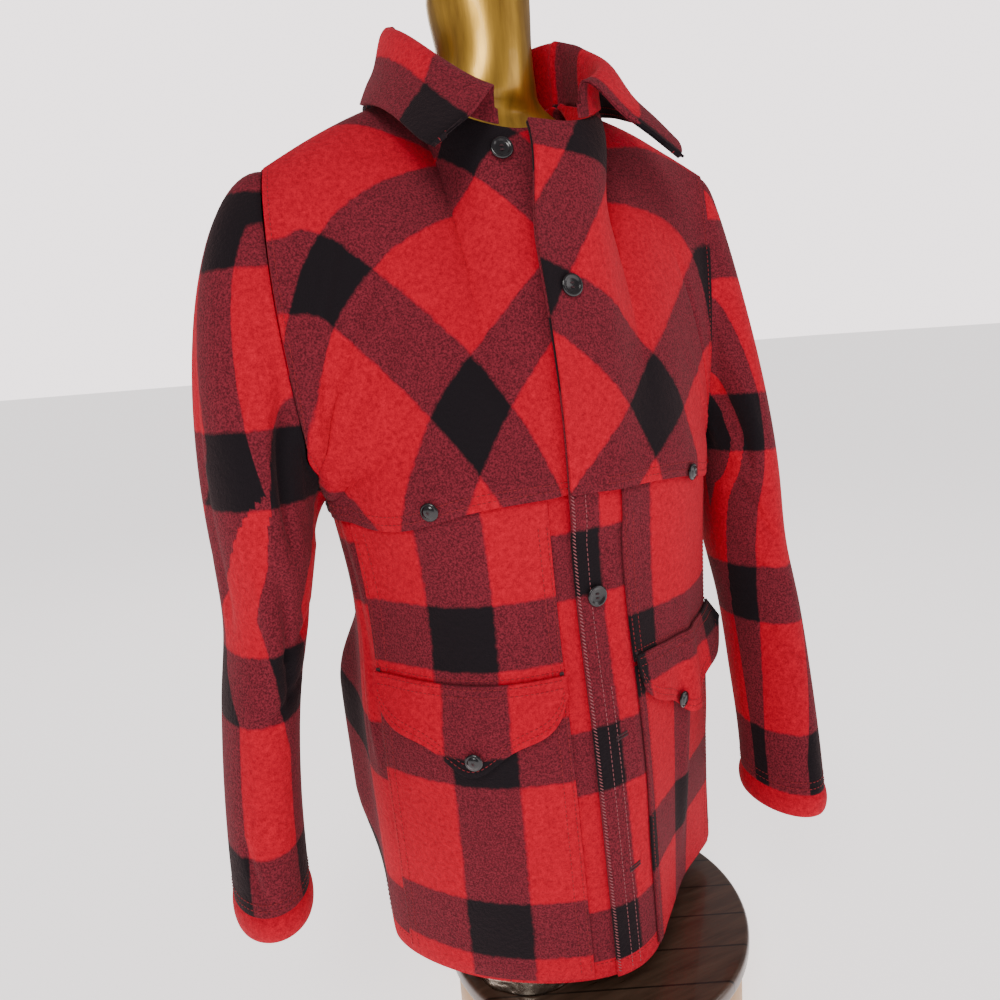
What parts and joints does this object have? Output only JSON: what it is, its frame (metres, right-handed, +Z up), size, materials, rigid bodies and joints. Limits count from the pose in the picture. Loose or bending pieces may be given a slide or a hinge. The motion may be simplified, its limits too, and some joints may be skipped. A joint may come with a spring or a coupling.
{
  "type": "wool coat on a dress form",
  "caption": "Heavy wool coat with a pointed collar, a double bias yoke and patch pockets, worn hollow by a limbless dress form on a low round stand.",
  "frame": {"origin": "on the underside of the stand's drum, straight below the coat's centre line", "axes": "+Z up, the coat faces -Y, the wearer's left is +X"},
  "size_m": [0.611, 0.3329, 1.048],
  "materials": {
    "front_right": "napped wool, large maroon, red and black check",
    "front_left": "napped wool, large maroon, red and black check",
    "back": "napped wool, large maroon, red and black check",
    "yoke_front_right": "napped wool, check on the bias",
    "yoke_front_left": "napped wool, check on the bias",
    "yoke_back": "napped wool, check on the bias",
    "sleeve_right": "napped wool, large maroon, red and black check",
    "sleeve_left": "napped wool, large maroon, red and black check",
    "cuff_right": "napped wool, red",
    "cuff_left": "napped wool, red",
    "collar": "napped wool, check",
    "chest_patch_right": "napped wool, check",
    "chest_patch_left": "napped wool, check",
    "lower_patch_right": "napped wool, check",
    "lower_patch_left": "napped wool, check",
    "flap_right": "napped wool, check",
    "flap_left": "napped wool, check",
    "button_neck": "polished black",
    "button_front_2": "polished black",
    "button_front_4": "polished black",
    "button_yoke_right": "polished black",
    "button_yoke_left": "polished black",
    "button_flap_right": "polished black",
    "button_flap_left": "polished black",
    "dress_form": "brushed gold paint",
    "thigh_right": "brushed gold paint",
    "thigh_left": "brushed gold paint",
    "foil_right": "crumpled foil",
    "foil_left": "crumpled foil",
    "stand_top": "dark varnished planks",
    "stand_drum": "tan varnished wood"
  },
  "bodies": {
    "root": {"front_right": "front_right", "front_left": "front_left", "back": "back", "yoke_front_right": "yoke_front_right", "yoke_front_left": "yoke_front_left", "yoke_back": "yoke_back", "sleeve_right": "sleeve_right", "sleeve_left": "sleeve_left", "cuff_right": "cuff_right", "cuff_left": "cuff_left", "collar": "collar", "chest_patch_right": "chest_patch_right", "chest_patch_left": "chest_patch_left", "lower_patch_right": "lower_patch_right", "lower_patch_left": "lower_patch_left", "flap_right": "flap_right", "flap_left": "flap_left", "button_neck": "button_neck", "button_front_2": "button_front_2", "button_front_4": "button_front_4", "button_yoke_right": "button_yoke_right", "button_yoke_left": "button_yoke_left", "button_flap_right": "button_flap_right", "button_flap_left": "button_flap_left", "dress_form": "dress_form", "thigh_right": "thigh_right", "thigh_left": "thigh_left", "foil_right": "foil_right", "foil_left": "foil_left", "stand_top": "stand_top", "stand_drum": "stand_drum"}
  },
  "joints": []
}
